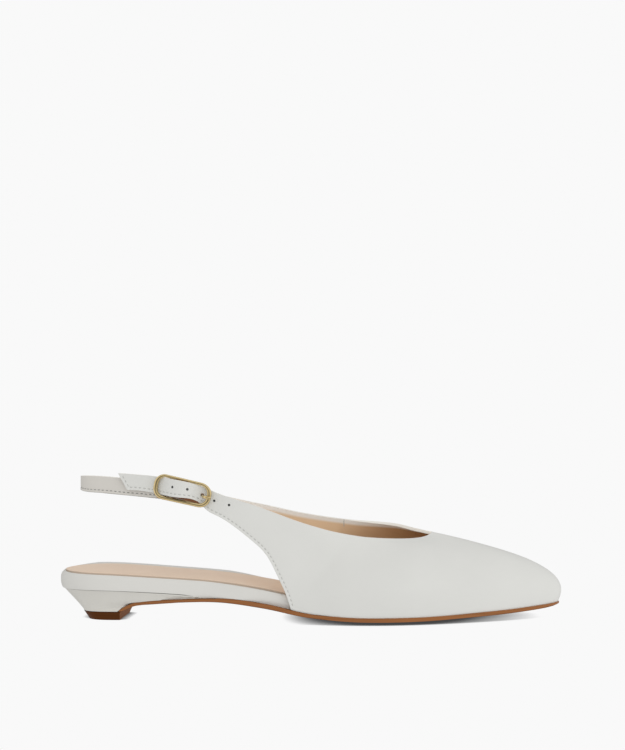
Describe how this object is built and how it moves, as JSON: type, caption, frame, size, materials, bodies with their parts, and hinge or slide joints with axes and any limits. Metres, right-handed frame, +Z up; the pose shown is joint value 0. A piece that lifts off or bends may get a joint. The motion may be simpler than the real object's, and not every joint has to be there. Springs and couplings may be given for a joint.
{
  "type": "slingback court shoe",
  "caption": "Low-heeled slingback court shoe for the right foot: almond toe, open back, smooth off-white leather, tan leather sole, padded insole and a buckled heel strap.",
  "frame": {"origin": "on the floor, under the middle of the shoe's length and width", "axes": "+X to the toe, +Y to the medial side, +Z up"},
  "size_m": [0.2635, 0.0786, 0.0761],
  "materials": {
    "upper_leather": "smooth off-white leather, satin",
    "cover_leather": "smooth off-white leather, satin",
    "sole_leather": "tan sole leather, waxed edge",
    "sock_leather": "beige lining leather, matt",
    "lift_rubber": "brown, matt",
    "buckle_metal": "pale gold plating, polished"
  },
  "bodies": {
    "root": {"outsole": "sole_leather", "heel": "cover_leather", "top_lift": "lift_rubber", "footbed": "cover_leather", "insole": "sock_leather", "upper": "upper_leather", "sling_strap": "upper_leather", "buckle_frame": "buckle_metal", "buckle_prong": "buckle_metal"}
  },
  "joints": []
}
